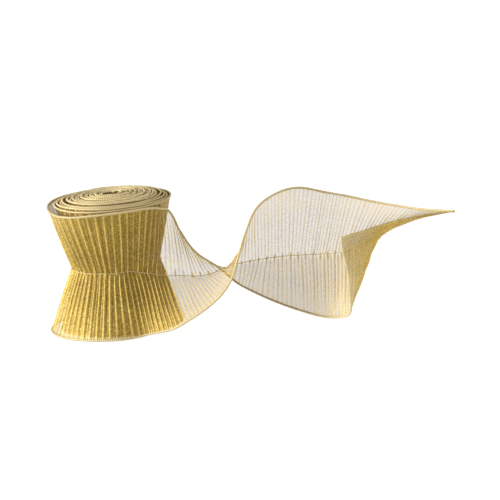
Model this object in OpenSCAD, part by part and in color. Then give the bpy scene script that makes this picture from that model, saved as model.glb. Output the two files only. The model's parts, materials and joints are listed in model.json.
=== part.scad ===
// Ribbon spool: a wide wired mesh ribbon, gathered along its middle by a stitched seam and wound
// on a paper core. The gathered middle draws every turn in, so the roll stands as an hourglass.
// The last turn is loose, and its tail peels off, makes half a twist and curls to its cut end.
// Origin: centre of the core's bore at the base plane. +Z runs up the core.

/* [Ribbon] */
// Width over both wired edges, measured along the cloth
ribbon_w = 101.6; // [80:0.1:125]
// Diameter of the thread-wrapped edge
edge_d = 2; // [1.6:0.1:2.4]
// Diameter of the wire inside each edge
wire_d = 0.6; // [0.3:0.1:0.8]
// Thickness of the pleated mesh as it packs
web_t = 0.8; // [0.5:0.1:1]
// Diameter of the seam's thread
seam_d = 0.8; // [0.5:0.1:1]
// Length of the seam as a share of the edges' length
gather = 0.73; // [0.7:0.01:0.8]

/* [Roll] */
// Turns wound tight
tight_turns = 13; // [10:1:16]
// Outer turns that stand a little apart
loose_turns = 4; // [2:1:5]
// Gap between neighbouring edges
turn_gap = 0.15; // [0.1:0.05:0.4]
// Extra gap between the tight and the loose turns
loose_gap = 1.5; // [0.5:0.1:3]
// How much wider the roll stands on its base than at its top
base_flare = 1.06; // [1:0.01:1.1]

/* [Core] */
// Outer diameter of the paper core
core_d = 9; // [7:0.5:14]
// Wall of the paper core
core_wall = 1; // [0.6:0.1:1.6]
// Length of the paper core
core_l = 90; // [60:1:94]
// Thickness of the adhesive tab that holds the ribbon's start
tab_t = 0.3; // [0.2:0.1:0.5]
// Height of the adhesive tab
tab_h = 36; // [20:1:50]

/* [Loose wrap and tail] */
// Free play between the roll and the loose wrap at the waist
wrap_gap = 0.3; // [0.3:0.1:2]
// How far the loose wrap's top edge stands off the roll
wrap_top_gap = 2; // [1.5:0.1:5]
// How far the loose wrap's bottom edge stands off the roll
wrap_base_gap = 3.5; // [1.5:0.1:6]
// Where the loose wrap starts, round the roll
wrap_from = 80; // [60:5:120]
// Where the tail peels off, round the roll
peel_at = 290; // [285:1:295]

/* [Hidden] */

$fn = 96;

mesh_colour = [0.80, 0.70, 0.44];
sheer_colour = [0.88, 0.83, 0.68];
edge_colour = [0.72, 0.58, 0.30];
thread_colour = [0.90, 0.82, 0.58];
wire_colour = [0.66, 0.60, 0.48];
core_colour = [0.70, 0.58, 0.42];
tab_colour = [0.92, 0.90, 0.82];

// Clearances: wire in its edge, mesh to edge or seam, first turn on the core's tab
wire_fit = 0.05;
join_gap = 0.1;
core_fit = 0.1;

half_w = (ribbon_w - edge_d) / 2;
edge_r = edge_d / 2;
wire_bore_r = wire_d / 2 + wire_fit;
web_from = seam_d / 2 + join_gap;
web_to = half_w - edge_r - join_gap;
waist_band = 6;

// Radii of turn i at its top edge, its seam and its bottom edge, counted from 0 at the core
turn_pitch = edge_d + turn_gap;
first_seam_r = core_d / 2 + tab_t + core_fit + web_t / 2;
function seam_r(i) = top_r(i) * gather;
function top_r(i) = first_seam_r / gather + i * turn_pitch + (i < tight_turns ? 0 : loose_gap);
function base_r(i) = first_seam_r / gather + (top_r(i) - first_seam_r / gather) * base_flare;
last_turn = tight_turns + loose_turns - 1;

// Height that a half width reaches when its edge stands this much further out than its seam
function rise(out) = sqrt(half_w * half_w - out * out);
function seam_z(seam, base) = edge_r + rise(base - seam);
function turn_z(i) = seam_z(seam_r(i), base_r(i));

// The loose wrap leans out more than the last turn, so its seam sits lower, where that turn is wider
wrap_top_r = top_r(last_turn) + edge_d + wrap_top_gap;
wrap_base_r = base_r(last_turn) + edge_d + wrap_base_gap;
wrap_snug_r = seam_r(last_turn) + web_t / 2 + max(web_t, seam_d) / 2 + wrap_gap;
wrap_drop = turn_z(last_turn) - seam_z(wrap_snug_r, wrap_base_r);
last_spread = base_r(last_turn) - seam_r(last_turn);
wrap_r = wrap_snug_r + wrap_drop * last_spread / rise(last_spread);
wrap_z = seam_z(wrap_r, wrap_base_r);
wrap_end_gap = 5;

// The tail's stations: seam point, then azimuth and tilt of the upper and the lower half. They were
// chosen for the roll and half width below, and follow both when either changes.
route_r = 46.6;
route_half = 49.8;
stations = [
    [[24, -29, 43.5], [338, 80], [288, -53]],
    [[37, -26, 40], [69, 85], [286, -33]],
    [[49, -23, 38], [100, 55], [286, -20]],
    [[61, -20, 36], [108, 34], [287, -6]],
    [[72, -17, 37], [106, 8], [285, 6]],
    [[82, -15, 40], [98, -12], [281, 20]],
    [[92, -15, 42], [95, -29], [279, 40]],
    [[106, -16, 44], [100, -40], [277, 65]],
    [[124, -23, 47], [95, -59], [0, 85]],
    [[142, -33, 50], [95, -76], [66, 56]],
    [[160, -45, 54], [240, -82], [68, 40]],
    [[176, -58, 58], [251, -60], [58, 27]],
    [[191, -76, 68], [239, -24], [44, 12]],
    [[205, -100, 84], [214, -4], [31, -3]]
];
tail_to = 6.92;
belly_from = 7.08;
belly_to = 10.9;
curl_from = 11.1;
curl_to = 14;
ring_step = 0.25;
tube_sides = 8;
wire_sides = 6;
web_lanes = 3;

function aim(a) = [cos(a[1]) * cos(a[0]), cos(a[1]) * sin(a[0]), sin(a[1])];
function unit(v) = v / norm(v);

route_xy = wrap_top_r / route_r;
route_z = half_w / route_half;
function scaled(p) = [p[0] * route_xy, p[1] * route_xy, p[2] * route_z];
wrap_up = acos((wrap_top_r - wrap_r) / half_w);
wrap_down = -acos((wrap_base_r - wrap_r) / half_w);
seam_points = concat(
    [[wrap_r * cos(peel_at), wrap_r * sin(peel_at), wrap_z]],
    [for (s = stations) scaled(s[0])]
);
upper_aims = concat([aim([peel_at, wrap_up])], [for (s = stations) aim(s[1])]);
lower_aims = concat([aim([peel_at, wrap_down])], [for (s = stations) aim(s[2])]);

// Smooth curve through a list of points; u counts the points from 0
function curve(p, u) = let(
    last = len(p) - 1,
    i = max(0, min(floor(u), last - 1)),
    t = u - i,
    a = i > 0 ? p[i - 1] : 2 * p[0] - p[1],
    b = p[i],
    c = p[i + 1],
    d = i + 2 > last ? 2 * p[last] - p[last - 1] : p[i + 2]
) 0.5 * (2 * b + (c - a) * t + (2 * a - 5 * b + 4 * c - d) * t * t + (3 * b - a - 3 * c + d) * t * t * t);

// Point on the cloth at station u, a distance v out from the seam along one half
function cloth(aims, u, v) = curve(seam_points, u) + v * unit(curve(aims, u));
function along(aims, u, v) = unit(cloth(aims, u + 0.02, v) - cloth(aims, u - 0.02, v));
function across(aims, u) = unit(curve(aims, u));
function facing(aims, u, v) = unit(cross(along(aims, u, v), across(aims, u)));

function steps(from, to) = let(
    n = ceil((to - from) / ring_step)
) [for (i = [0:n]) from + (to - from) * i / n];

// Cross-section of the mesh: out along one face and back along the other
function web_ring(aims, u) = let(
    lanes = [for (j = [0:web_lanes]) web_from + (web_to - web_from) * j / web_lanes],
    middle = [for (v = lanes) cloth(aims, u, v)],
    half_t = [for (v = lanes) facing(aims, u, v) * web_t / 2]
) concat(
    [for (j = [0:web_lanes]) middle[j] + half_t[j]],
    [for (j = [web_lanes:-1:0]) middle[j] - half_t[j]]
);

// Cross-section of a round cord at distance v from the seam
function cord_ring(aims, u, v, r, sides) = let(
    t = along(aims, u, v),
    n = unit(cross(t, across(aims, u))),
    b = cross(n, t)
) [for (k = [0:sides - 1]) cloth(aims, u, v) + r * (cos(360 * k / sides) * n + sin(360 * k / sides) * b)];

// Skin through a list of rings, from point number first, as triangles. The second half of each ring
// takes the other diagonal, so that both faces of a twisted sheet fold along the same lines.
function skin(rings, first, size) = [
    for (i = [0:rings - 2]) for (k = [0:size - 1]) let(
        a = first + i * size + k,
        b = first + i * size + (k + 1) % size
    ) each k < size / 2
        ? [[a, b, b + size], [a, b + size, a + size]]
        : [[a, b, a + size], [b, b + size, a + size]]
];
function flip(faces) = [for (f = faces) [f[2], f[1], f[0]]];

// End of a solid ring, as a strip between its two sides
function cap(first, size) = [
    for (j = [0:size / 2 - 2]) let(
        a = first + j,
        b = a + 1,
        d = first + size - 1 - j,
        c = d - 1
    ) each [[a, c, b], [a, d, c]]
];

// Flat end of a pipe, between its outer ring from point number first and the inner ring, offset on
function rim(first, offset, size) = [
    for (k = [0:size - 1]) let(
        a = first + k,
        b = first + (k + 1) % size
    ) each [[a, b + offset, b], [a, a + offset, b + offset]]
];

module loft(rings) {
    size = len(rings[0]);
    polyhedron(
        points = [for (r = rings) each r],
        faces = flip(concat(
            skin(len(rings), 0, size),
            cap(0, size),
            flip(cap((len(rings) - 1) * size, size))
        ))
    );
}

// A tube through matching outer and inner rings
module pipe(outer, inner) {
    size = len(outer[0]);
    n = len(outer);
    start = n * size;
    final = start - size;
    polyhedron(
        points = concat([for (r = outer) each r], [for (r = inner) each r]),
        faces = flip(concat(
            skin(n, 0, size),
            flip(skin(n, start, size)),
            rim(0, start, size),
            flip(rim(final, start, size))
        ))
    );
}

// Wound cloth, as a section for turning: a slanted strip for each turn, from its seam to its edge.
// The turns press together near the seam, so a band there joins them into one solid.
module comb(seams, edges, zs, up) {
    last = len(seams) - 1;
    out = [for (i = [0:last]) [edges[i] - seams[i], up * rise(edges[i] - seams[i])] / half_w];
    side = [for (o = out) up * [o[1], -o[0]] * web_t / 2];
    near = [for (i = [0:last]) [seams[i], zs[i]] + out[i] * web_from];
    band = [for (i = [0:last]) [seams[i], zs[i]] + out[i] * waist_band];
    far = [for (i = [0:last]) [seams[i], zs[i]] + out[i] * web_to];
    polygon(concat(
        [for (i = [0:last]) each [near[i] - side[i], near[i] + side[i]]],
        [for (i = [last:-1:0]) each concat(
            i < last ? [band[i] + side[i]] : [],
            [far[i] + side[i], far[i] - side[i]],
            i > 0 ? [band[i] - side[i]] : []
        )]
    ));
}

all_turns = [0:last_turn];
top_edges = [for (i = all_turns) top_r(i)];
base_edges = [for (i = all_turns) base_r(i)];

module turns(from, to, up, edges) {
    group = [from:to];
    rotate_extrude()
        comb([for (i = group) seam_r(i)], [for (i = group) edges[i]], [for (i = group) turn_z(i)], up);
}

module ring(r, z, outer, inner = 0, angle = 360) {
    rotate_extrude(angle = angle)
        translate([r, z])
            difference() {
                circle(r = outer, $fn = 24);
                if (inner > 0) circle(r = inner, $fn = 24);
            }
}

function edge_z(i, up, edges) = turn_z(i) + up * rise(edges[i] - seam_r(i));

module edge_rings(from, to, up, edges) {
    for (i = [from:to]) ring(edges[i], edge_z(i, up, edges), edge_r, wire_bore_r);
}

module wire_rings(from, to, up, edges) {
    for (i = [from:to]) ring(edges[i], edge_z(i, up, edges), wire_d / 2);
}

// ---- core ----

module core_tube() {
    color(core_colour)
        difference() {
            cylinder(d = core_d, h = core_l);
            translate([0, 0, -1]) cylinder(d = core_d - 2 * core_wall, h = core_l + 2);
        }
}

module start_tab() {
    color(tab_colour)
        rotate_extrude(angle = 240)
            translate([core_d / 2, turn_z(0) - tab_h / 2])
                square([tab_t, tab_h]);
}

// ---- wound turns ----

module tight_turns_upper() { color(mesh_colour) turns(0, tight_turns - 1, 1, top_edges); }
module tight_turns_lower() { color(mesh_colour) turns(0, tight_turns - 1, -1, base_edges); }
module loose_turns_upper() { color(mesh_colour) turns(tight_turns, last_turn, 1, top_edges); }
module loose_turns_lower() { color(mesh_colour) turns(tight_turns, last_turn, -1, base_edges); }
module tight_top_edges() { color(edge_colour) edge_rings(0, tight_turns - 1, 1, top_edges); }
module tight_bottom_edges() { color(edge_colour) edge_rings(0, tight_turns - 1, -1, base_edges); }
module loose_top_edges() { color(edge_colour) edge_rings(tight_turns, last_turn, 1, top_edges); }
module loose_bottom_edges() { color(edge_colour) edge_rings(tight_turns, last_turn, -1, base_edges); }
module tight_top_wires() { color(wire_colour) wire_rings(0, tight_turns - 1, 1, top_edges); }
module tight_bottom_wires() { color(wire_colour) wire_rings(0, tight_turns - 1, -1, base_edges); }
module loose_top_wires() { color(wire_colour) wire_rings(tight_turns, last_turn, 1, top_edges); }
module loose_bottom_wires() { color(wire_colour) wire_rings(tight_turns, last_turn, -1, base_edges); }
module roll_seam_thread() {
    color(thread_colour)
        for (i = all_turns) ring(seam_r(i), turn_z(i), seam_d / 2);
}

// ---- loose wrap ----

wrap_sweep = peel_at - wrap_end_gap - wrap_from;
wrap_top_z = wrap_z + rise(wrap_top_r - wrap_r);

module wrap_half(edge, up) {
    rotate([0, 0, wrap_from])
        rotate_extrude(angle = wrap_sweep)
            comb([wrap_r], [edge], [wrap_z], up);
}

module wrap_ring(r, z, outer, inner = 0) {
    rotate([0, 0, wrap_from]) ring(r, z, outer, inner, wrap_sweep);
}

module wrap_upper() { color(mesh_colour) wrap_half(wrap_top_r, 1); }
module wrap_lower() { color(mesh_colour) wrap_half(wrap_base_r, -1); }
module wrap_top_edge() { color(edge_colour) wrap_ring(wrap_top_r, wrap_top_z, edge_r, wire_bore_r); }
module wrap_bottom_edge() { color(edge_colour) wrap_ring(wrap_base_r, edge_r, edge_r, wire_bore_r); }
module wrap_top_wire() { color(wire_colour) wrap_ring(wrap_top_r, wrap_top_z, wire_d / 2); }
module wrap_bottom_wire() { color(wire_colour) wrap_ring(wrap_base_r, edge_r, wire_d / 2); }
module wrap_seam_thread() { color(thread_colour) wrap_ring(wrap_r, wrap_z, seam_d / 2); }

// ---- free ribbon: tail, belly and curl ----

module web(aims, from, to) {
    color(sheer_colour) loft([for (u = steps(from, to)) web_ring(aims, u)]);
}

module edge(aims, from, to) {
    color(edge_colour)
        pipe(
            [for (u = steps(from, to)) cord_ring(aims, u, half_w, edge_r, tube_sides)],
            [for (u = steps(from, to)) cord_ring(aims, u, half_w, wire_bore_r, tube_sides)]
        );
}

module wire(aims, from, to) {
    color(wire_colour) loft([for (u = steps(from, to)) cord_ring(aims, u, half_w, wire_d / 2, wire_sides)]);
}

module seam(from, to) {
    color(thread_colour)
        loft([for (u = steps(from, to)) cord_ring(upper_aims, u, 0, seam_d / 2, wire_sides)]);
}

module tail_upper() { web(upper_aims, 0, tail_to); }
module tail_lower() { web(lower_aims, 0, tail_to); }
module tail_top_edge() { edge(upper_aims, 0, tail_to); }
module tail_bottom_edge() { edge(lower_aims, 0, tail_to); }
module tail_top_wire() { wire(upper_aims, 0, tail_to); }
module tail_bottom_wire() { wire(lower_aims, 0, tail_to); }
module tail_seam_thread() { seam(0, tail_to); }

module belly_upper() { web(upper_aims, belly_from, belly_to); }
module belly_lower() { web(lower_aims, belly_from, belly_to); }
module belly_top_edge() { edge(upper_aims, belly_from, belly_to); }
module belly_bottom_edge() { edge(lower_aims, belly_from, belly_to); }
module belly_top_wire() { wire(upper_aims, belly_from, belly_to); }
module belly_bottom_wire() { wire(lower_aims, belly_from, belly_to); }
module belly_seam_thread() { seam(belly_from, belly_to); }

module curl_upper() { web(upper_aims, curl_from, curl_to); }
module curl_lower() { web(lower_aims, curl_from, curl_to); }
module curl_top_edge() { edge(upper_aims, curl_from, curl_to); }
module curl_bottom_edge() { edge(lower_aims, curl_from, curl_to); }
module curl_top_wire() { wire(upper_aims, curl_from, curl_to); }
module curl_bottom_wire() { wire(lower_aims, curl_from, curl_to); }
module curl_seam_thread() { seam(curl_from, curl_to); }

core_tube();
start_tab();
tight_turns_upper();
tight_turns_lower();
loose_turns_upper();
loose_turns_lower();
tight_top_edges();
tight_bottom_edges();
loose_top_edges();
loose_bottom_edges();
tight_top_wires();
tight_bottom_wires();
loose_top_wires();
loose_bottom_wires();
roll_seam_thread();
wrap_upper();
wrap_lower();
wrap_top_edge();
wrap_bottom_edge();
wrap_top_wire();
wrap_bottom_wire();
wrap_seam_thread();
tail_upper();
tail_lower();
tail_top_edge();
tail_bottom_edge();
tail_top_wire();
tail_bottom_wire();
tail_seam_thread();
belly_upper();
belly_lower();
belly_top_edge();
belly_bottom_edge();
belly_top_wire();
belly_bottom_wire();
belly_seam_thread();
curl_upper();
curl_lower();
curl_top_edge();
curl_bottom_edge();
curl_top_wire();
curl_bottom_wire();
curl_seam_thread();
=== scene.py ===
"""Ribbon spool: a roll of wide wired mesh ribbon with a twisted, curled tail.

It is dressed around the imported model. The ribbon is one continuous strip. It is wound on a paper core,
its last turn is loose, and its tail peels off, makes half a twist and curls to a cut end. Lengths in
the classes below are millimetres, but for the hinges and the studio, which are in metres.
"""

import json
import logging
from dataclasses import dataclass, field
from enum import Enum
from math import cos, pi, radians, sin

import bmesh
import bpy
import numpy as np
from mathutils import Matrix, Vector


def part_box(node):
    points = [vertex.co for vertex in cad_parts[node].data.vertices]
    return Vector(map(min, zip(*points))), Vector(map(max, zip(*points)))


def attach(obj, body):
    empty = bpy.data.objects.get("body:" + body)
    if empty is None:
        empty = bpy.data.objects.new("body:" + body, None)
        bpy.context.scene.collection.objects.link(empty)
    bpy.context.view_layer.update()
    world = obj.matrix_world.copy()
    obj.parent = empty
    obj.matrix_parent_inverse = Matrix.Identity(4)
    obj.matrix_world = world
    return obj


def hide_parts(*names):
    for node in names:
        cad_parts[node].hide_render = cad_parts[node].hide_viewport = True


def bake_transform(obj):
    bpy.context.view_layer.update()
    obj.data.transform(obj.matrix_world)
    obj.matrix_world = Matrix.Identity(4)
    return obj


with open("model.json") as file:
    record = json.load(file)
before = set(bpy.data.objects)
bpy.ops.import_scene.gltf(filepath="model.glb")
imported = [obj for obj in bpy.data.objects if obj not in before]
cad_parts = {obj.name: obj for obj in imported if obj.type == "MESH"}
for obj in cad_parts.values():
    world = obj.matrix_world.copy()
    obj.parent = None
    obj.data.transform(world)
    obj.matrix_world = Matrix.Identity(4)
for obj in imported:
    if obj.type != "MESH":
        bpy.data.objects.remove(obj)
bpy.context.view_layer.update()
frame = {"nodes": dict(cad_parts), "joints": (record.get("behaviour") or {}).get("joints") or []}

MM = 0.001
LOG = logging.getLogger("ribbon_spool")


# ---- helpers ----


def to_linear(hex_colour: str) -> tuple[float, float, float, float]:
    """Turn an sRGB hex colour into linear RGBA.

    Args:
        hex_colour: Six hex digits after a hash sign.

    Returns:
        The linear colour with an alpha of 1.
    """
    parts = [int(hex_colour[i : i + 2], 16) / 255 for i in (1, 3, 5)]
    linear = [p / 12.92 if p <= 0.04045 else ((p + 0.055) / 1.055) ** 2.4 for p in parts]
    return (linear[0], linear[1], linear[2], 1.0)


def add_node(
    tree: bpy.types.NodeTree, kind: str, inputs: dict | None = None, **settings: object
) -> bpy.types.Node:
    """Add a node with its settings, values and links.

    Args:
        tree: The material's node tree.
        kind: The node's type name.
        inputs: Socket name or number to a value, or to an output socket that feeds it.
        **settings: Properties of the node.

    Returns:
        The new node.
    """
    node = tree.nodes.new(kind)
    for name, value in settings.items():
        setattr(node, name, value)
    for key, value in (inputs or {}).items():
        if isinstance(value, bpy.types.NodeSocket):
            tree.links.new(value, node.inputs[key])
        else:
            node.inputs[key].default_value = value
    return node


def blank_material(name: str) -> tuple[bpy.types.Material, bpy.types.NodeTree, bpy.types.Node]:
    """Make a material with nothing but its shader.

    Args:
        name: The material's name.

    Returns:
        The material, its tree and its Principled shader.
    """
    material = bpy.data.materials.new(name)
    material.use_nodes = True
    tree = material.node_tree
    tree.nodes.clear()
    shader = add_node(tree, "ShaderNodeBsdfPrincipled")
    add_node(tree, "ShaderNodeOutputMaterial", {"Surface": shader.outputs["BSDF"]})
    return material, tree, shader


def smooth_step(x: np.ndarray) -> np.ndarray:
    """Ease from 0 to 1 as x goes from 0 to 1."""
    t = np.clip(x, 0.0, 1.0)
    return t * t * (3 - 2 * t)


def bump(x: np.ndarray, centre: float, width: float) -> np.ndarray:
    """Rise smoothly to 1 at a centre, and fall to about a third one width away from it."""
    return np.exp(-(((x - centre) / width) ** 2))


def waves(x: np.ndarray, *parts: tuple[float, float, float]) -> np.ndarray:
    """Sum sine waves, each given by its height, its rate and its shift."""
    return sum(height * np.sin(rate * x + shift) for height, rate, shift in parts)


def path_length(path: np.ndarray) -> np.ndarray:
    """Distance along a path of points, from 0 at its first."""
    return np.concatenate([[0.0], np.cumsum(np.linalg.norm(np.diff(path, axis=0), axis=1))])


def unit_rows(a: np.ndarray) -> np.ndarray:
    """Scale each row vector to length 1."""
    return a / np.linalg.norm(a, axis=-1, keepdims=True)


def aim(azimuth: float, tilt: float) -> list[float]:
    """Unit vector at an azimuth and a tilt, in degrees."""
    a, t = radians(azimuth), radians(tilt)
    return [cos(t) * cos(a), cos(t) * sin(a), sin(t)]


def curve_rows(p: np.ndarray, u: np.ndarray) -> np.ndarray:
    """Follow a smooth curve through rows of points.

    Args:
        p: Control rows.
        u: Places along them, counted in rows from 0.

    Returns:
        One row for each place.
    """
    last = len(p) - 1
    i = np.clip(np.floor(u).astype(int), 0, last - 1)
    t = (u - i)[:, None]
    padded = np.vstack([2 * p[0] - p[1], p, 2 * p[last] - p[last - 1]])
    a, b, c, d = padded[i], padded[i + 1], padded[i + 2], padded[i + 3]
    cubic = 2 * b + (c - a) * t + (2 * a - 5 * b + 4 * c - d) * t**2 + (3 * b - a - 3 * c + d) * t**3
    return 0.5 * cubic


# ---- finishes ----


@dataclass(frozen=True)
class MeshFinish:
    """Lurex organza: flat metallised yarn, loosely woven, which gives a glittering, see-through gold.

    Each crossing of two yarns catches the light by itself, drawn as small painted glints and painted shade;
    the cloth is denser along its folds, with a painted highlight on them and painted shade in the valleys.
    """

    name: str
    # Colours: painted highlight on the folds, painted shade in the valleys, then painted shade and painted
    # glints at single crossings
    ridge_highlight: str
    valley_shade: str
    shade: str
    glint: str
    sheer: bool = False
    # Share of light stopped in the valleys and on the folds, for free cloth and for cloth on the roll
    thin_cover: tuple[float, float] = (0.39, 0.72)
    dense_cover: tuple[float, float] = (0.74, 0.96)
    # How much the random holes between yarns add to the light stopped, or take from it
    hole_cover: float = 0.1
    # How strongly single crossings take painted shade and painted glints, and the grain over which each of
    # the two comes in
    sparkle: float = 0.6
    dark_grain: tuple[float, float] = (0.45, 0.25)
    bright_grain: tuple[float, float] = (0.58, 0.80)
    metallic: float = 0.25
    roughness: float = 0.5
    specular: float = 0.15
    sheen: float = 0.3
    sheen_roughness: float = 0.4
    sheen_tint: str = "#FFE9B4"
    # Real yarns lie 0.4 mm apart, too fine to show, so their crossings are drawn about 0.7 mm apart
    yarn_mm: float = 0.7
    relief_mm: float = 0.12
    # Size and brightness of the faint lighter and darker patches
    cloud_mm: float = 17.0
    clouds: tuple[float, float] = (0.88, 1.12)

    def grain(self, tree: bpy.types.NodeTree, cloth: bpy.types.NodeSocket) -> bpy.types.NodeSocket:
        """Make a random value for each yarn crossing, which sets where the painted glints and the painted
        shade fall, and the holes and the relief.

        Args:
            tree: The material's node tree.
            cloth: The cloth's UV map, in metres.

        Returns:
            A value of about 0 to 1 for each crossing.
        """
        step = self.yarn_mm * MM
        weave = (step, 0.8 * step, 1.0)
        crossing = add_node(tree, "ShaderNodeVectorMath", {0: cloth, 1: weave}, operation="SNAP")
        spots = add_node(
            tree, "ShaderNodeTexWhiteNoise", {"Vector": crossing.outputs[0]}, noise_dimensions="2D"
        )
        slub = {"Vector": cloth, "Scale": 0.6 / step, "Detail": 2.0}
        slubs = add_node(tree, "ShaderNodeTexNoise", slub)
        half_spots = add_node(
            tree, "ShaderNodeMath", {0: spots.outputs["Value"], 1: 0.5}, operation="MULTIPLY"
        )
        halves = {0: slubs.outputs["Fac"], 1: 0.5, 2: half_spots.outputs[0]}
        return add_node(tree, "ShaderNodeMath", halves, operation="MULTIPLY_ADD").outputs[0]

    def stops(
        self, tree: bpy.types.NodeTree, pleat: bpy.types.NodeSocket, pair: tuple[float, float]
    ) -> bpy.types.NodeSocket:
        """Share of light stopped, which goes from its value in a valley to its value on a fold."""
        # A Map Range node's inputs are the value, the range it comes from and the range it goes to
        ends = {0: pleat, 1: 0.1, 2: 0.9, 3: pair[0], 4: pair[1]}
        return add_node(tree, "ShaderNodeMapRange", ends).outputs[0]

    def make(self) -> bpy.types.Material:
        """Build the material from the cloth's UV map, in metres, and its pleat and dense attributes."""
        material, tree, shader = blank_material(self.name)
        cloth = add_node(tree, "ShaderNodeUVMap", uv_map="cloth").outputs["UV"]
        pleat = add_node(tree, "ShaderNodeAttribute", attribute_name="pleat").outputs["Fac"]
        grain = self.grain(tree, cloth)
        lift = pleat
        if self.sheer:
            # Closely gathered cloth shades its own folds, so they are a little less bright
            dense = add_node(tree, "ShaderNodeAttribute", attribute_name="dense").outputs["Fac"]
            shaded = {0: dense, 1: 0.5, 2: 1.0, 3: 1.0, 4: 0.75}
            lit = add_node(tree, "ShaderNodeMapRange", shaded).outputs[0]
            lift = add_node(tree, "ShaderNodeMath", {0: pleat, 1: lit}, operation="MULTIPLY").outputs[0]
            thin = self.stops(tree, pleat, self.thin_cover)
            thick = self.stops(tree, pleat, self.dense_cover)
            cover = add_node(tree, "ShaderNodeMix", {"Factor": dense, "A": thin, "B": thick})
            gaps = {0: grain, 1: 0.25, 2: 0.75, 3: -self.hole_cover, 4: self.hole_cover}
            holes = add_node(tree, "ShaderNodeMapRange", gaps)
            both = {0: cover.outputs["Result"], 1: holes.outputs[0]}
            alpha = add_node(tree, "ShaderNodeMath", both, operation="ADD", use_clamp=True)
            tree.links.new(alpha.outputs[0], shader.inputs["Alpha"])
        # Painted shade in the valleys and a painted highlight on the folds, set by the pleat attribute
        body = add_node(
            tree,
            "ShaderNodeMix",
            {"Factor": lift, "A": to_linear(self.valley_shade), "B": to_linear(self.ridge_highlight)},
            data_type="RGBA",
        ).outputs["Result"]
        cloud = add_node(tree, "ShaderNodeTexNoise", {"Vector": cloth, "Scale": 1 / (self.cloud_mm * MM)})
        shift = {0: cloud.outputs["Fac"], 1: 0.3, 2: 0.7, 3: self.clouds[0], 4: self.clouds[1]}
        patch = add_node(tree, "ShaderNodeMapRange", shift).outputs[0]
        colour = add_node(tree, "ShaderNodeHueSaturation", {"Color": body, "Value": patch}).outputs[0]
        # Painted shade on the darkest crossings and painted glints on the brightest
        for (low, high), tone in ((self.dark_grain, self.shade), (self.bright_grain, self.glint)):
            ends = {0: grain, 1: low, 2: high, 3: 0.0, 4: self.sparkle}
            share = add_node(tree, "ShaderNodeMapRange", ends).outputs[0]
            colour = add_node(
                tree, "ShaderNodeMix", {"Factor": share, "A": colour, "B": to_linear(tone)}, data_type="RGBA"
            ).outputs["Result"]
        tree.links.new(colour, shader.inputs["Base Color"])
        relief = {"Height": grain, "Strength": 0.3, "Distance": self.relief_mm * MM}
        tree.links.new(add_node(tree, "ShaderNodeBump", relief).outputs[0], shader.inputs["Normal"])
        shader.inputs["Metallic"].default_value = self.metallic
        shader.inputs["Roughness"].default_value = self.roughness
        shader.inputs["Specular IOR Level"].default_value = self.specular
        shader.inputs["Sheen Weight"].default_value = self.sheen
        shader.inputs["Sheen Roughness"].default_value = self.sheen_roughness
        shader.inputs["Sheen Tint"].default_value = to_linear(self.sheen_tint)
        return material


@dataclass(frozen=True)
class ThreadFinish:
    """Twisted lurex and polyester thread, which gives fine slanted bands of light and dark."""

    name: str
    light: str
    dark: str
    # Real wraps are 0.6 mm apart; they are drawn coarser so that they show
    wrap_mm: float = 1.2
    # How far apart the bands' light and dark stand, and the scale per metre of fibres about 1 mm long
    contrast: float = 0.32
    fibre_scale: float = 900.0
    relief_mm: float = 0.1
    metallic: float = 0.2
    roughness: float = 0.55

    def make(self) -> bpy.types.Material:
        """Build the material from the cord's own UV map, in metres along it and turns round it."""
        material, tree, shader = blank_material(self.name)
        cord = add_node(tree, "ShaderNodeUVMap", uv_map="cloth").outputs["UV"]
        axes = add_node(tree, "ShaderNodeSeparateXYZ", {0: cord})
        wraps = {0: axes.outputs["X"], 1: 2 * pi / (self.wrap_mm * MM)}
        along = add_node(tree, "ShaderNodeMath", wraps, operation="MULTIPLY")
        slant = {0: axes.outputs["Y"], 1: 2 * pi, 2: along.outputs[0]}
        round_it = add_node(tree, "ShaderNodeMath", slant, operation="MULTIPLY_ADD")
        bands = add_node(tree, "ShaderNodeMath", {0: round_it.outputs[0]}, operation="SINE")
        fibres = {"Vector": cord, "Scale": self.fibre_scale, "Detail": 2.0}
        grain = add_node(tree, "ShaderNodeTexNoise", fibres)
        banded = {0: bands.outputs[0], 1: self.contrast, 2: grain.outputs["Fac"]}
        mixed = add_node(tree, "ShaderNodeMath", banded, operation="MULTIPLY_ADD").outputs[0]
        colour = add_node(
            tree,
            "ShaderNodeMix",
            {"Factor": mixed, "A": to_linear(self.dark), "B": to_linear(self.light)},
            data_type="RGBA",
        )
        relief = {"Height": mixed, "Strength": 0.4, "Distance": self.relief_mm * MM}
        tree.links.new(colour.outputs["Result"], shader.inputs["Base Color"])
        tree.links.new(add_node(tree, "ShaderNodeBump", relief).outputs[0], shader.inputs["Normal"])
        shader.inputs["Metallic"].default_value = self.metallic
        shader.inputs["Roughness"].default_value = self.roughness
        return material


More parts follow.
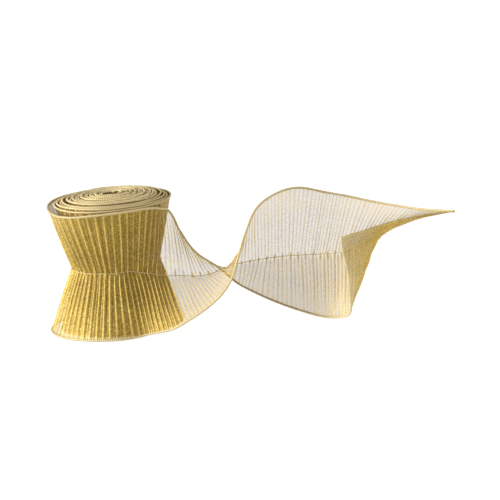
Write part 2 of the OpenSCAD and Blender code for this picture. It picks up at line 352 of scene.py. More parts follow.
@dataclass(frozen=True)
class PaperFinish:
    """Kraft paper, spiral-wound or flat, which gives short darker fibres on a warm matt ground."""

    name: str
    ground: str
    fibre: str
    fibre_mm: float = 1.6
    # Fibres lie along the height, where they are drawn four times as long
    stretch: tuple[float, float, float] = (1.0, 1.0, 0.25)
    relief_mm: float = 0.1
    roughness: float = 0.85

    def make(self) -> bpy.types.Material:
        """Build the material on Object coordinates."""
        material, tree, shader = blank_material(self.name)
        place = add_node(tree, "ShaderNodeTexCoord").outputs["Object"]
        stretch = add_node(tree, "ShaderNodeMapping", {"Vector": place, "Scale": self.stretch})
        fibres = add_node(
            tree,
            "ShaderNodeTexNoise",
            {"Vector": stretch.outputs[0], "Scale": 1 / (self.fibre_mm * MM), "Detail": 4.0},
        ).outputs["Fac"]
        colour = add_node(
            tree,
            "ShaderNodeMix",
            {"Factor": fibres, "A": to_linear(self.ground), "B": to_linear(self.fibre)},
            data_type="RGBA",
        )
        relief = {"Height": fibres, "Strength": 0.3, "Distance": self.relief_mm * MM}
        tree.links.new(colour.outputs["Result"], shader.inputs["Base Color"])
        tree.links.new(add_node(tree, "ShaderNodeBump", relief).outputs[0], shader.inputs["Normal"])
        shader.inputs["Roughness"].default_value = self.roughness
        return material


@dataclass(frozen=True)
class WireFinish:
    """Annealed steel wire, drawn through a die, which gives a dull grey-gold shine with fine scores."""

    name: str = "annealed_wire"
    colour: str = "#9A8E74"
    # Scale per metre of the scores, and the roughness between and along them
    score_scale: float = 400.0
    roughness: tuple[float, float] = (0.32, 0.5)

    def make(self) -> bpy.types.Material:
        """Build the material from the wire's own UV map."""
        material, tree, shader = blank_material(self.name)
        cord = add_node(tree, "ShaderNodeUVMap", uv_map="cloth").outputs["UV"]
        scored = {"Vector": cord, "Scale": self.score_scale, "Detail": 3.0}
        scores = add_node(tree, "ShaderNodeTexNoise", scored).outputs["Fac"]
        ends = {0: scores, 1: 0.3, 2: 0.7, 3: self.roughness[0], 4: self.roughness[1]}
        dull = add_node(tree, "ShaderNodeMapRange", ends).outputs[0]
        tree.links.new(dull, shader.inputs["Roughness"])
        shader.inputs["Base Color"].default_value = to_linear(self.colour)
        shader.inputs["Metallic"].default_value = 1.0
        return material


class Finish(Enum):
    """Every finish on the object, by what it is used for."""

    # Mesh colours after the name: painted highlight on the folds, painted shade in the valleys, painted
    # shade and painted glints at single crossings
    PACKED_MESH = MeshFinish("lurex_mesh_packed", "#C6A95E", "#785A20", "#553B12", "#EBD99C")
    SHEER_MESH = MeshFinish(
        "lurex_mesh_sheer", "#D2B25C", "#8C7326", "#6A531C", "#E4D190", sheer=True, sparkle=0.35
    )
    EDGE_THREAD = ThreadFinish("overlock_thread", "#D8C898", "#866C36", wrap_mm=1.6)
    SEAM_THREAD = ThreadFinish("seam_thread", "#DCCB98", "#9C8148", wrap_mm=0.8)
    FRAYED_YARN = ThreadFinish("frayed_yarn", "#8C7A4A", "#4E4020", wrap_mm=0.8)
    WIRE = WireFinish()
    CORE = PaperFinish("kraft_core", "#B08A5C", "#7E5C38")
    TAB = PaperFinish("paper_tab", "#E6E0CC", "#C8BEA0")


class Wardrobe:
    """Makes each finish's material once."""

    def __init__(self) -> None:
        """Start with no materials made."""
        self.made: dict[Finish, bpy.types.Material] = {}

    def get(self, finish: Finish) -> bpy.types.Material:
        """Return a finish's material, made on first use."""
        if finish not in self.made:
            self.made[finish] = finish.value.make()
        return self.made[finish]


# ---- the ribbon's route ----


@dataclass
class Ribbon:
    """The ribbon's own sizes."""

    edge_r: float = 1.0
    wire_r: float = 0.3
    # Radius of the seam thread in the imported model, and as it is drawn
    seam_r: float = 0.4
    stitch_r: float = 0.27
    # From the seam to the middle of either edge
    half: float = 49.8
    # From one wound turn to the next
    pitch: float = 2.15
    # Size of a wound turn at its seam, as a share of its size at its top
    gather: float = 0.73
    # How much faster the wound turns widen at their foot than at their top
    base_flare: float = 1.06
    # From one pleat to the next, on the roll and on the free ribbon
    wound_pleat: float = 4.6
    free_pleat: float = 3.2


@dataclass
class Route:
    """The whole ribbon's course: its seam, and the way each half runs from the seam to its edge."""

    ribbon: Ribbon
    # All wound turns, and those of them that are tight
    turns: float = 17.0
    tight: float = 13.0
    # Azimuths in degrees where the loose wrap starts and where the tail peels off
    join_at: float = 60.0
    peel_at: float = 290.0
    # How many degrees the loose wrap takes to move away from the roll, and the unevenness to die out
    opens_over: float = 70.0
    evens_over: float = 80.0
    # Share of a turn in which the gap between the tight and the loose turns opens
    gap_over: float = 0.6
    # Height, rate and shift of the slow waves of the turns' size, and of how high their rims stand
    size_waves: tuple = ((0.25, 1.37, 0.0), (0.15, 5.3, 0.0))
    rim_waves: tuple = ((0.45, 1.37, 1.0), (0.3, 0.61, 0.0), (0.15, 3.3, 0.0))
    # How far the loose wrap bulges at its top and its foot, and how far its seam sags at the front
    loop_out: float = 5.0
    base_out: float = 2.5
    sag: float = 1.0
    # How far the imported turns' tops have sunk, and how much lower each loose turn stands than the last
    sink: float = 0.6
    drop: float = 0.45
    # How far the last two turns' top bulges on the right, and how far the foot rises as the tail leaves
    corner: float = 0.6
    lift: float = 2.5
    # How far the upper half bows between its seam and its edge where it curls over
    bow: float = 4.0
    # How far the cloth hangs at the belly's seam
    slack: float = 2.5
    # Seam point, then azimuth and tilt of the upper and the lower half, as in the model's source
    stations: tuple = (
        ((24, -29, 43.5), (338, 80), (288, -53)),
        ((37, -26, 40), (69, 85), (286, -33)),
        ((49, -23, 38), (100, 55), (286, -20)),
        ((61, -20, 36), (108, 34), (287, -6)),
        ((72, -17, 37), (106, 8), (285, 6)),
        ((82, -15, 40), (98, -12), (281, 20)),
        ((92, -15, 42), (95, -29), (279, 40)),
        ((106, -16, 44), (100, -40), (277, 65)),
        ((124, -23, 47), (95, -59), (0, 85)),
        ((142, -33, 50), (95, -76), (66, 56)),
        ((160, -45, 54), (240, -82), (68, 40)),
        ((176, -58, 58), (251, -60), (58, 27)),
        ((191, -76, 68), (239, -24), (44, 12)),
        ((205, -100, 84), (214, -4), (31, -3)),
    )
    # Places along the tail, counted in stations, with the peel as 0
    places: tuple = (
        ("front", -0.5),
        ("peel", 0.0),
        ("free", 4.0),
        ("pinch", 6.5),
        ("belly", 10.0),
        ("curl", 12.6),
    )
    # Degrees between the last places on the wrap that the tail is tied to
    tie: float = 20.0
    steps_per_turn: int = 120
    steps_per_station: int = 40
    marks: dict[str, float] = field(init=False)

    def __post_init__(self) -> None:
        """Work out the dense course from the frame's boxes and the stations."""
        edge = self.ribbon.edge_r
        self.tight_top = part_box("tight_top_edges")[1][0] / MM - edge
        self.loose_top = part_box("loose_top_edges")[1][0] / MM - edge
        self.wrap_top = -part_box("wrap_top_edge")[0][1] / MM - edge
        self.wrap_base = -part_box("wrap_bottom_edge")[0][1] / MM - edge
        self.wrap_seam = -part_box("wrap_seam_thread")[0][1] / MM - self.ribbon.seam_r
        self.first_top = self.tight_top - (self.tight - 1) * self.ribbon.pitch
        self.gap = self.loose_top - self.tight_top - (self.turns - self.tight) * self.ribbon.pitch
        parts = [self._wound(), self._tail()]
        self.seam, self.up, self.low = (np.vstack([p[k] for p in parts]) for k in range(3))
        steps = np.linalg.norm(np.diff(self.seam, axis=0), axis=1)
        self.length = path_length(self.seam)
        count = len(parts[0][0])
        wound, free = self.length[:count], self.length[count:]
        self.marks = {
            "core": 0.0,
            "tight_end": float(np.interp(self.tight, self.wound_turns, wound)),
            "join": float(np.interp(self.turns, self.wound_turns, wound)),
            "side": float(np.interp(self.turn_at(180), self.wound_turns, wound)),
        }
        for name, place in self.places:
            self.marks[name] = float(np.interp(place, self.tail_at, free))
        self.marks["cut"] = float(self.length[-1])
        pleat = np.interp(
            self.length,
            [self.marks["side"], self.marks["free"]],
            [self.ribbon.wound_pleat, self.ribbon.free_pleat],
        )
        self.pleats = np.concatenate([[0.0], np.cumsum(steps / pleat[1:])])

    def turn_at(self, azimuth: float) -> float:
        """Turn number of an azimuth on the loose wrap."""
        return self.turns + (azimuth - self.join_at) / 360

    def _radii(self, turn: np.ndarray) -> tuple[np.ndarray, np.ndarray, np.ndarray]:
        """Radius of the top edge, the seam and the bottom edge at each turn number."""
        wound = np.minimum(turn, self.turns)
        # The spiral has a packed ring's size halfway through that ring's turn
        top = self.first_top + (wound - 0.5) * self.ribbon.pitch
        top = top + self.gap * smooth_step((wound - self.tight + self.gap_over / 2) / self.gap_over)
        seam = top * self.ribbon.gather
        base = self.first_top + (top - self.first_top) * self.ribbon.base_flare
        loose = smooth_step((turn - self.turns) * 360 / self.opens_over)
        top = top + (self.wrap_top - top) * loose
        seam = seam + (self.wrap_seam - seam) * loose
        base = base + (self.wrap_base - base) * loose
        return top, seam, base

    def _on_roll(self, turn: np.ndarray) -> tuple[np.ndarray, np.ndarray, np.ndarray]:
        """Seam points and half directions at turn numbers on the roll and the loose wrap."""
        top, seam, base = self._radii(turn)
        half = self.ribbon.half
        azimuth = self.join_at + (turn - self.turns) * 360
        theta = np.radians(azimuth)
        wrap = (turn > self.turns).astype(float)
        wound = 1 - smooth_step((turn - self.turns) * 360 / self.evens_over)
        last_turns = np.clip(turn - (self.turns - 2), 0, 1)
        on_right = np.exp(4 * (np.cos(theta) - 1))
        top = top + waves(theta, *self.size_waves)
        top = top + self.corner * last_turns * on_right * wound
        # The wrap bulges at the front left, and its seam sags from the left side to the front
        top = top + self.loop_out * bump(azimuth, 232, 32) * wrap
        base = base + self.base_out * bump(azimuth, 205, 45) * wrap
        sag = self.sag * smooth_step((azimuth - 190) / 100) * wrap
        rise_up = np.sqrt(half**2 - (top - seam) ** 2)
        rise_low = np.sqrt(half**2 - (base - seam) ** 2) - sag
        base = seam + np.sqrt(half**2 - rise_low**2)
        out = np.stack([np.cos(theta), np.sin(theta), np.zeros_like(theta)], 1)
        z = np.array([[0.0, 0.0, 1.0]])
        points = out * seam[:, None] + z * (self.ribbon.edge_r + rise_low)[:, None]
        up = (out * (top - seam)[:, None] + z * rise_up[:, None]) / half
        low = (out * (base - seam)[:, None] - z * rise_low[:, None]) / half
        loose_turns = np.clip(turn - self.tight, 0, self.turns - self.tight)
        step = (self.sink + self.drop * loose_turns) * wound
        uneven = waves(theta, *self.rim_waves) * wound
        up = up * (1 + (uneven - step) / half)[:, None]
        low = low * (1 - np.abs(uneven) / half)[:, None]
        return points, up, low

    def _wound(self) -> tuple[np.ndarray, np.ndarray, np.ndarray]:
        """The spiral and the loose wrap, up to one tie before the peel."""
        last = self.turn_at(self.peel_at - self.tie)
        self.wound_turns = np.linspace(0.0, last, int(last * self.steps_per_turn))
        return self._on_roll(self.wound_turns)

    def _tail(self) -> tuple[np.ndarray, np.ndarray, np.ndarray]:
        """The free ribbon, which carries on smoothly from three places on the loose wrap."""
        ties = np.array([self.turn_at(self.peel_at - k * self.tie) for k in (2, 1, 0)])
        seam, up, low = self._on_roll(ties)
        seam = np.vstack([seam, [s[0] for s in self.stations]])
        up = np.vstack([up, [aim(*s[1]) for s in self.stations]])
        low = np.vstack([low, [aim(*s[2]) for s in self.stations]])
        spans = len(self.stations) + 1
        self.tail_at = np.linspace(-1.0, len(self.stations), spans * self.steps_per_station + 1)[1:]
        # The first tie is row 0, so the peel, where the stations are counted from, is row 2
        u = self.tail_at + 2
        highest, reach = 0.75, 0.85
        lift = self.lift * bump(self.tail_at, highest, reach)
        low = unit_rows(curve_rows(low, u)) * (1 - lift / self.ribbon.half)[:, None]
        return curve_rows(seam, u), unit_rows(curve_rows(up, u)), low

    def look_up(self, values: np.ndarray, s: np.ndarray) -> np.ndarray:
        """Read rows of values at distances along the seam."""
        return np.stack([np.interp(s, self.length, values[:, k]) for k in range(3)], 1)

    def at(self, s: np.ndarray) -> tuple[np.ndarray, np.ndarray, np.ndarray, np.ndarray]:
        """Look the course up.

        Args:
            s: Distances along the seam from the core.

        Returns:
            Seam points, upper directions, lower directions and the seam's own directions. The half
            directions are about 1 long, less where the cloth stands short of its edge's full height.
        """
        # The seam's direction is taken over a short stretch round each place
        near = 0.4
        ahead = self.look_up(self.seam, np.minimum(s + near, self.length[-1]))
        behind = self.look_up(self.seam, np.maximum(s - near, 0.0))
        along = unit_rows(ahead - behind)
        return self.look_up(self.seam, s), self.look_up(self.up, s), self.look_up(self.low, s), along

    def pleat_at(self, s: np.ndarray) -> np.ndarray:
        """Count of pleats from the core to distances along the seam."""
        return np.interp(s, self.length, self.pleats)

    def bow_at(self, s: np.ndarray) -> np.ndarray:
        """How far the upper half bows at distances along the seam, in mm."""
        reach = 20.0
        return self.bow * bump(s, self.marks["curl"], reach)

    def slack_at(self, s: np.ndarray) -> np.ndarray:
        """How far the cloth hangs below the straight course at its seam along the belly, in mm."""
        # It hangs lowest about halfway from the belly's mark to the curl's
        lowest = 0.55 * self.marks["belly"] + 0.45 * self.marks["curl"]
        reach = 28.0
        return self.slack * bump(s, lowest, reach)

    def dense_at(self, s: np.ndarray, v: np.ndarray) -> np.ndarray:
        """How closely gathered the cloth is, from 0 on the free ribbon to 1 on the roll, with painted shade
        added as extra density on the lower half.

        Args:
            s: Distances along the seam, as a column.
            v: Distances across from the seam, as a row.

        Returns:
            The value at each place. Whichever half hangs below is drawn a little denser, and so darker, as
            painted shade on the half that faces down.
        """
        # The lower half leaves the roll a little later than the upper one
        seam_width, later, leaving = 4.0, 10.0, 14.0
        leaves = self.marks["peel"] + later * smooth_step(-v / seam_width)
        to_front = smooth_step((s - self.marks["side"]) / 45.0)
        on_roll = (1 - smooth_step((s - leaves) / leaving)) * (0.75 + 0.25 * to_front)
        # The half twist brings the other half below, where it takes the painted shade
        lower_half_shade = smooth_step(np.where(s > self.marks["pinch"], v, -v) / seam_width)
        curled = smooth_step((s - self.marks["curl"]) / 20.0)
        return np.maximum(on_roll, 0.45 * lower_half_shade + 0.35 * curled)


# ---- pieces of ribbon ----


def grid_piece(
    name: str,
    points: np.ndarray,
    uv: np.ndarray,
    close: bool = False,
    attributes: dict[str, np.ndarray] | None = None,
) -> bpy.types.Object:
    """Lay a bmesh grid over rows and columns of points.

    Args:
        name: The piece's name.
        points: Columns by rows by 3, in mm.
        uv: Columns by rows by 2, in metres.
        close: Whether the last row meets the first, as round a cord, with closed ends.
        attributes: Columns by rows of each value that the material reads, by name.

    Returns:
        The new object, with its place in its mesh.
    """
    columns, rows = points.shape[:2]
    bm = bmesh.new()
    bmesh.ops.create_grid(bm, x_segments=columns - 1, y_segments=rows - 1, size=1.0)
    mesh = bpy.data.meshes.new(name)
    bm.to_mesh(mesh)
    bm.free()
    order = np.empty((len(mesh.vertices), 3))
    mesh.vertices.foreach_get("co", order.reshape(-1))
    i = np.rint((order[:, 0] + 1) / 2 * (columns - 1)).astype(int)
    j = np.rint((order[:, 1] + 1) / 2 * (rows - 1)).astype(int)
    mesh.vertices.foreach_set("co", (points[i, j] * MM).ravel())
    loops = np.empty(len(mesh.loops), dtype=np.int32)
    mesh.loops.foreach_get("vertex_index", loops)
    cloth_map = mesh.uv_layers.new(name="cloth")
    cloth_map.data.foreach_set("uv", uv[i[loops], j[loops]].astype(np.float32).ravel())
    for key, values in (attributes or {}).items():
        attribute = mesh.attributes.new(key, "FLOAT", "POINT")
        attribute.data.foreach_set("value", values[i, j].astype(np.float32))
    if close:
        bm = bmesh.new()
        bm.from_mesh(mesh)
        touching = 0.002 * MM
        bmesh.ops.remove_doubles(bm, verts=bm.verts, dist=touching)
        bmesh.ops.holes_fill(bm, edges=[e for e in bm.edges if e.is_boundary], sides=0)
        bmesh.ops.recalc_face_normals(bm, faces=bm.faces)
        bm.to_mesh(mesh)
        bm.free()
    mesh.shade_smooth()
    piece = bpy.data.objects.new(name, mesh)
    bpy.context.scene.collection.objects.link(piece)
    return piece


class Side(Enum):
    """The ribbon's two wired edges."""

    TOP = "top"
    BOTTOM = "bottom"


@dataclass
class Hinge:
    """Where a run of ribbon passes from one body to the next, with its two ends in metres."""

    first: str
    second: str
    start: tuple[float, float, float]
    end: tuple[float, float, float]

    @classmethod
    def around(
        cls, first: str, second: str, joint: Vector, way: Vector, before: float, after: float
    ) -> "Hinge":
        """Place a hinge on a joint, from a distance before it to a distance after it."""
        return cls(first, second, tuple(joint - way * before), tuple(joint + way * after))


@dataclass
class Run:
    """One length of the ribbon: its pleated web, wired edges and seam thread."""

    name: str
    # Distances along the seam
    start: float
    stop: float
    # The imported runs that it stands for, and what their thread and wire nodes' names end with
    nodes: tuple[str, ...]
    mesh: Finish
    # It rides on one body, or has a hinge, which leaves it unparented with its place baked into its mesh
    body: str = "roll"
    hinge: Hinge | None = None
    node_suffix: str = ""
    # Fineness of the web: columns to each pleat, and rows from the seam to either edge
    columns_per_pleat: int = 12
    rows: int = 18
    # Height of the pleats, as a share of the free ribbon's
    fold: float = 1.0
    # Spacing of the edge thread's wraps, and the edge's radius
    wrap_mm: float = 1.6
    cord_r: float = 0.92
    held: str = "gathered"
    # Extra cloth along the ribbon that the pleats take up
    take_up: float = 1.12

    def dress(
        self,
        piece: bpy.types.Object,
        finish: Finish,
        nodes: list[str],
        wardrobe: Wardrobe,
    ) -> None:
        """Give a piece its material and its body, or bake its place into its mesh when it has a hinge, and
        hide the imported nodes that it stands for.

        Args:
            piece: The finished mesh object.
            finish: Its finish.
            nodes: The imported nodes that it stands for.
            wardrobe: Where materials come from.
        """
        piece.data.materials.append(wardrobe.get(finish))
        if self.hinge:
            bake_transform(piece)
        else:
            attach(piece, self.body)
        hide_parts(*nodes)
        LOG.info("%s: %d faces", piece.name, len(piece.data.polygons))

    def pleats(self, n: np.ndarray, v: np.ndarray, ribbon: Ribbon) -> tuple[np.ndarray, np.ndarray]:
        """Height of the cloth above its mean surface.

        Args:
            n: Count of pleats along the seam, as a column.
            v: Distance across from the seam, as a row.
            ribbon: The ribbon's sizes.

        Returns:
            The height in mm and the pleat attribute, from 0 in a valley to 1 on a fold, which also sets the
            painted highlight and the painted shade.
        """
        seam_reach = 7.0
        near = bump(v, 0.0, seam_reach)
        # Pleats wander, lie a little closer in the lower half, and shift where they cross the seam
        wander = waves(n, (0.30, 1.31, 0.0), (0.25, 0.47, 1.3)) + 0.20 * np.sin(v / 12.0 + 0.9 * n)
        closer = np.where(v < 0, 1.2, 1.0)
        shift = 0.9 * near * np.sin(0.83 * n + 0.5) * np.sign(v)
        phase = 2 * pi * n * closer + wander + shift
        # Between two main folds, which vary in height, lies a minor one
        crest = (0.86 + waves(n, (0.14, 2.1, 0.4))) * np.exp(2.1 * (np.cos(phase) - 1))
        between = phase + 2.7 + waves(n, (0.5, 1.7, 0.0))
        minor = 0.30 * np.exp(5.0 * (np.cos(between) - 1))
        # Folds stand highest halfway between the seam and the edge, and flatten towards the edge
        across = np.abs(v) / ribbon.half
        flatten = 1 - 0.6 * across**3
        size = self.fold * (0.6 + 0.4 * np.sin(pi * np.clip(across, 0, 1) ** 0.8)) * flatten
        # Fine gathers run along the seam, three to a pleat
        gathers = 0.20 * near * np.sin(3 * phase + 1.9)
        mark = self.tuck_mark(n, v)
        height = size * (1.9 * (crest + minor) - 0.5) + self.fold * (gathers + 0.9 * mark)
        return height, np.clip(crest + minor + gathers + 0.7 * mark, 0, 1)

    def tuck(self, n: np.ndarray) -> np.ndarray:
        """How nearly each place lies on one of the tucks, which take every second pleat at the seam."""
        tuck_width = 0.08
        return bump(n / 2 - np.round(n / 2), 0.0, tuck_width)

    def tuck_mark(self, n: np.ndarray, v: np.ndarray) -> np.ndarray:
        """The short ridge that each tuck makes across the seam, longer above it than below."""
        return self.tuck(n) * smooth_step((v + 3.5) / 2.0) * smooth_step((5.5 - v) / 3.0)

    def web(self, route: Route, wardrobe: Wardrobe) -> None:
        """Make the pleated web from edge to edge."""
        ribbon = route.ribbon
        first, last = route.pleat_at(np.array([self.start, self.stop]))
        s = np.linspace(self.start, self.stop, int((last - first) * self.columns_per_pleat) + 1)
        # Rows crowd towards the seam, and the outermost one lies inside the edge's thread
        crowding, inset = 1.25, 0.4
        steps = np.linspace(0, 1, self.rows + 1) ** crowding * (ribbon.half - inset)
        v = np.concatenate([-steps[::-1], steps[1:]])
        seam, up, low, _ = route.at(s)
        side = np.where((v >= 0)[None, :, None], up[:, None, :], low[:, None, :])
        surface = seam[:, None, :] + side * np.abs(v)[None, :, None]
        normal = unit_rows(np.cross(np.gradient(surface, axis=0), np.gradient(surface, axis=1)))
        count = route.pleat_at(s)[:, None]
        height, pleat = self.pleats(count, v[None, :], ribbon)
        bow = route.bow_at(s)[:, None] * np.sin(pi * np.clip(v / ribbon.half, 0, 1))[None, :]
        points = surface + normal * (height + bow)[:, :, None]
        points[:, :, 2] -= route.slack_at(s)[:, None] * (1 - np.abs(v) / ribbon.half)[None, :]
        # The dense attribute also carries painted shade on whichever half hangs below
        dense = np.maximum(route.dense_at(s[:, None], v[None, :]), self.tuck_mark(count, v[None, :]))
        uv = np.stack(np.broadcast_arrays(s[:, None] * MM, v[None, :] * MM), -1)
        piece = grid_piece(f"{self.name}_web", points, uv, attributes={"pleat": pleat, "dense": dense})
        nodes = [f"{n}_{half}" for n in self.nodes for half in ("upper", "lower")]
        self.dress(piece, self.mesh, nodes, wardrobe)

    def cord(
        self, name: str, path: np.ndarray, guide: np.ndarray, radius: np.ndarray
    ) -> bpy.types.Object:
        """Make a round cord along a path.

        Args:
            name: The piece's name.
            path: Points along it, in mm.
            guide: A direction across it at each point.
            radius: Radius in mm at each point and each place round it, where the last meets the first.

        Returns:
            The new object.
        """
        tangent = unit_rows(np.gradient(path, axis=0))
        n = unit_rows(np.cross(tangent, guide))
        b = np.cross(n, tangent)
        angle = np.linspace(0, 2 * pi, radius.shape[1])
        ring = np.cos(angle)[None, :, None] * n[:, None, :] + np.sin(angle)[None, :, None] * b[:, None, :]
        points = path[:, None, :] + ring * radius[:, :, None]
        points[:, -1] = points[:, 0]
        along = (path_length(path) + self.start)[:, None] * MM
        uv = np.stack(np.broadcast_arrays(along, angle[None, :] / (2 * pi)), -1)
        return grid_piece(name, points, uv, close=True)

    def edge(self, route: Route, which: Side, wardrobe: Wardrobe) -> None:
        """Make one thread-wrapped edge and the wire inside it."""
        ribbon = route.ribbon
        # Part, finish, slot, distance between points along it, and points round it
        for part, finish, slot, spacing, sides in (
            ("edge", Finish.EDGE_THREAD, "edge_thread", self.wrap_mm / 8, 8),
            ("wire", Finish.WIRE, "edge_wire", 2.0, 6),
        ):
            s = np.linspace(self.start, self.stop, int((self.stop - self.start) / spacing) + 1)
            seam, up, low, _ = route.at(s)
            way = up if which is Side.TOP else low
            path = seam + way * ribbon.half
            if part == "edge":
                # The thread's wraps stand out as a screw, on an edge that is a little uneven
                run = path_length(path)[:, None]
                turn = 2 * pi * run / self.wrap_mm + np.linspace(0, 2 * pi, sides + 1)[None, :]
                radius = self.cord_r * (0.9 + 0.12 * np.sin(turn) + 0.04 * np.sin(run / 3.1))
            else:
                radius = np.full((len(s), sides + 1), ribbon.wire_r)
            piece = self.cord(f"{self.name}_{which.value}_{part}", path, way, radius)
            nodes = [f"{n}_{which.value}_{part}{self.node_suffix}" for n in self.edge_nodes()]
            self.dress(piece, finish, nodes, wardrobe)

    def edge_nodes(self) -> list[str]:
        """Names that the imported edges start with, which leave out the word for turns."""
        return [n.replace("_turns", "") for n in self.nodes]

    def seam_thread(self, route: Route, wardrobe: Wardrobe) -> None:
        """Make the running stitch that gathers the web, outside the cloth but for a dip at each tuck."""
        spacing, sides = 0.4, 6
        s = np.linspace(self.start, self.stop, int((self.stop - self.start) / spacing) + 1)
        seam, up, low, tangent = route.at(s)
        normal = unit_rows(np.cross(tangent, unit_rows(up - low)))
        out, dip = 0.7, 0.8
        over = self.fold * (out - dip * self.tuck(route.pleat_at(s)))
        path = seam + normal * over[:, None]
        path[:, 2] -= route.slack_at(s)
        radius = np.full((len(s), sides + 1), route.ribbon.stitch_r)
        piece = self.cord(f"{self.name}_seam_thread", path, up, radius)
        nodes = ["roll_seam_thread"] if self.node_suffix else [f"{n}_seam_thread" for n in self.nodes]
        self.dress(piece, Finish.SEAM_THREAD, nodes, wardrobe)

    def build(self, route: Route, wardrobe: Wardrobe) -> None:
        """Make every piece of this length."""
        self.web(route, wardrobe)
        for which in Side:
            self.edge(route, which, wardrobe)
        self.seam_thread(route, wardrobe)


@dataclass
class RibbonAssembly:
    """The whole ribbon, in lengths that each cross at most one joint."""

    route: Route

    def runs(self) -> list[Run]:
        """List the lengths from the core to the cut end."""
        m = self.route.marks
        joints = {j["name"]: Vector(j.get("pos_m", (0, 0, 0))) for j in frame["joints"]}
        packed, sheer = Finish.PACKED_MESH, Finish.SHEER_MESH
        # The way that the ribbon runs where it crosses each joint
        at_peel = Vector(aim(self.route.peel_at + 90, 0))
        at_pinch = Vector((1, 0, 0))
        at_curl = Vector((16, -14, 4)).normalized()
        slack = Hinge("roll", "wrap", (0.022, 0.045, 0.05), (-0.012, 0.045, 0.05))
        peel = Hinge.around("wrap", "tail", joints["tail_peel"], at_peel, 0.006, 0.010)
        twist = Hinge.around("tail", "belly", joints["pinch_twist"], at_pinch, 0.012, 0.012)
        bend = Hinge.around("belly", "curl", joints["curl_bend"], at_curl, 0.012, 0.012)
        tight_turns = Run(
            "tight_turns",
            m["core"],
            m["tight_end"],
            ("tight_turns",),
            packed,
            node_suffix="s",
            columns_per_pleat=8,
            rows=8,
            fold=0.35,
            wrap_mm=2.0,
            cord_r=1.0,
        )
        loose_turns = Run(
            "loose_turns",
            m["tight_end"],
            m["join"],
            ("loose_turns",),
            packed,
            node_suffix="s",
            rows=14,
            fold=0.4,
            cord_r=0.82,
        )
        return [
            tight_turns,
            loose_turns,
            Run("wrap_start", m["join"], m["side"], ("wrap",), sheer, hinge=slack),
            Run("wrap_front", m["side"], m["front"], ("wrap",), sheer, body="wrap"),
            Run("peel", m["front"], m["free"], ("wrap", "tail"), sheer, hinge=peel),
            Run("pinch", m["free"], m["belly"], ("tail", "belly"), sheer, hinge=twist),
            Run("curl", m["belly"], m["cut"], ("belly", "curl"), sheer, hinge=bend),
        ]

    def build(self, wardrobe: Wardrobe) -> None:
        """Make every length."""
        for run in self.runs():
            run.build(self.route, wardrobe)


@dataclass
class CutEnd:
    """The raw end of the ribbon, where short yarn ends stand out, each its own way and length."""

    route: Route
    ends: int = 120
    shortest: float = 0.7
    longest: float = 2.4
    # Radius at the root, and the tip's share of it
    yarn_r: float = 0.16
    taper: float = 0.4
    # How far the ends lean along the cut and out of the cloth
    lean: float = 0.45
    stray: float = 0.35

    def build(self, wardrobe: Wardrobe) -> None:
        """Make the fringe of yarn ends."""
        ribbon = self.route.ribbon
        cut = self.route.marks["cut"]
        seam, up, low, tangent = (rows[0] for rows in self.route.at(np.array([cut])))
        bm = bmesh.new()
        layer = bm.loops.layers.uv.new("cloth")
        for k in range(self.ends):
            across = (2 * (k + 0.5) / self.ends - 1) * ribbon.half
            # Rates that never fall into step stand in for chance, so that every run is the same
            lean = sin(12.9 * k) * self.lean
            stray = cos(7.3 * k) * self.stray
            longer = (0.5 + 0.5 * sin(5.1 * k)) ** 2
            length = self.shortest + (self.longest - self.shortest) * longer
            way = up if across > 0 else low
            root = Vector(seam + way * abs(across))
            heading = Vector(tangent + lean * way) + stray * Vector(np.cross(tangent, way))
            heading.normalize()
            place = Matrix.Translation((root + heading * length / 2) * MM)
            turned = place @ heading.to_track_quat("Z", "Y").to_matrix().to_4x4()
            made = bmesh.ops.create_cone(
                bm,
                cap_ends=True,
                segments=4,
                radius1=self.yarn_r * MM,
                radius2=self.taper * self.yarn_r * MM,
                depth=length * MM,
                matrix=turned,
            )
            for face in {f for v in made["verts"] for f in v.link_faces}:
                for loop in face.loops:
                    loop[layer].uv = ((loop.vert.co - place.translation).dot(heading), 0.0)
        mesh = bpy.data.meshes.new("cut_end_fringe")
        bm.to_mesh(mesh)
        bm.free()
        mesh.materials.append(wardrobe.get(Finish.FRAYED_YARN))
        piece = bpy.data.objects.new("cut_end_fringe", mesh)
        bpy.context.scene.collection.objects.link(piece)
        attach(piece, "curl")
        LOG.info("%s: %d faces", piece.name, len(mesh.polygons))


@dataclass
class Core:
    """The paper core and the tab that holds the ribbon's start to it, as they are packed."""

    papers: tuple = (("core_tube", Finish.CORE), ("start_tab", Finish.TAB))

    def build(self, wardrobe: Wardrobe) -> None:
        """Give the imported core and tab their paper."""
        for node, finish in self.papers:
            piece = frame["nodes"][node]
            piece.data.materials.clear()
            piece.data.materials.append(wardrobe.get(finish))
            LOG.info("%s: %s", node, finish.name.lower())


# ---- studio ----


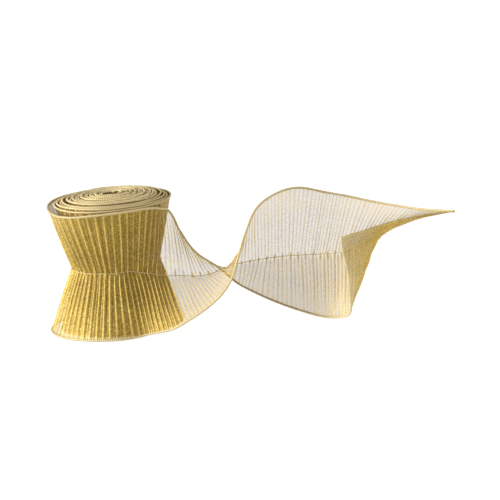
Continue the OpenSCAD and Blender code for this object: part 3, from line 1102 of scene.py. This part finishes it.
@dataclass
class Studio:
    """Camera, pale floor and soft lights."""

    target: tuple[float, float, float] = (0.0999, 0.0103, 0.0465)
    distance: float = 1.805
    # How far the camera looks down and how far it leans, in degrees
    elevation: float = 12.3
    roll: float = 4.5
    # Millimetres, as on a camera
    lens: float = 172.8
    sensor: float = 36.0
    # The floor's own grey, and the light it gives off so that it stays pale behind sheer cloth
    floor_size: float = 6.0
    floor_grey: float = 0.12
    floor_glow: float = 0.92
    surround: float = 0.6
    # Name, place, size and watts of each lamp
    lamps: tuple = (
        ("key", (-1.7, -0.4, 0.5), 0.8, 60.0),
        ("fill", (1.3, -1.1, 0.4), 1.2, 10.0),
        ("top", (0.0, 0.3, 1.6), 1.0, 10.0),
    )

    def camera(self) -> None:
        """Place the camera in front of the roll, a little above it."""
        data = bpy.data.cameras.new("camera")
        data.lens = self.lens
        data.sensor_width = self.sensor
        data.clip_end = 20.0
        camera = bpy.data.objects.new("camera", data)
        tilt, turn = radians(self.elevation), radians(self.roll)
        ahead = Vector((0.0, cos(tilt), -sin(tilt)))
        level = Vector((1.0, 0.0, 0.0))
        upright = level.cross(ahead)
        right = cos(turn) * level - sin(turn) * upright
        up = cos(turn) * upright + sin(turn) * level
        turned = Matrix((right, up, -ahead)).transposed().to_4x4()
        camera.matrix_world = Matrix.Translation(Vector(self.target) - ahead * self.distance) @ turned
        bpy.context.scene.collection.objects.link(camera)
        bpy.context.scene.camera = camera

    def floor(self) -> None:
        """Lay a plain white floor under the roll."""
        bm = bmesh.new()
        bmesh.ops.create_grid(bm, x_segments=1, y_segments=1, size=self.floor_size)
        mesh = bpy.data.meshes.new("floor")
        bm.to_mesh(mesh)
        bm.free()
        floor = bpy.data.objects.new("floor", mesh)
        material, _, shader = blank_material("studio_floor")
        grey = self.floor_grey
        shader.inputs["Base Color"].default_value = (grey, grey, grey, 1.0)
        shader.inputs["Roughness"].default_value = 0.9
        shader.inputs["Emission Color"].default_value = (1.0, 1.0, 1.0, 1.0)
        shader.inputs["Emission Strength"].default_value = self.floor_glow
        mesh.materials.append(material)
        bpy.context.scene.collection.objects.link(floor)

    def lights(self) -> None:
        """Hang a key light on the left, weaker ones on the right and above, and a white surround."""
        for name, place, size, watts in self.lamps:
            data = bpy.data.lights.new(name, "AREA")
            data.shape = "SQUARE"
            data.size = size
            data.energy = watts
            light = bpy.data.objects.new(name, data)
            light.location = place
            facing = Vector(self.target) - Vector(place)
            light.rotation_euler = facing.to_track_quat("-Z", "Y").to_euler()
            bpy.context.scene.collection.objects.link(light)
        world = bpy.data.worlds.new("surround")
        world.use_nodes = True
        background = world.node_tree.nodes["Background"]
        background.inputs["Color"].default_value = (1.0, 1.0, 1.0, 1.0)
        background.inputs["Strength"].default_value = self.surround
        bpy.context.scene.world = world
        bpy.context.scene.view_settings.view_transform = "Standard"

    def build(self) -> None:
        """Set up the whole studio."""
        self.camera()
        self.floor()
        self.lights()


def main() -> None:
    """Build the studio, the core and the ribbon in order."""
    logging.basicConfig(level=logging.INFO, format="%(name)s: %(message)s")
    Studio().build()
    wardrobe = Wardrobe()
    Core().build(wardrobe)
    route = Route(Ribbon())
    LOG.info("seam marks in mm: %s", {k: round(x, 1) for k, x in route.marks.items()})
    RibbonAssembly(route).build(wardrobe)
    CutEnd(route).build(wardrobe)


if __name__ == "__main__":
    main()
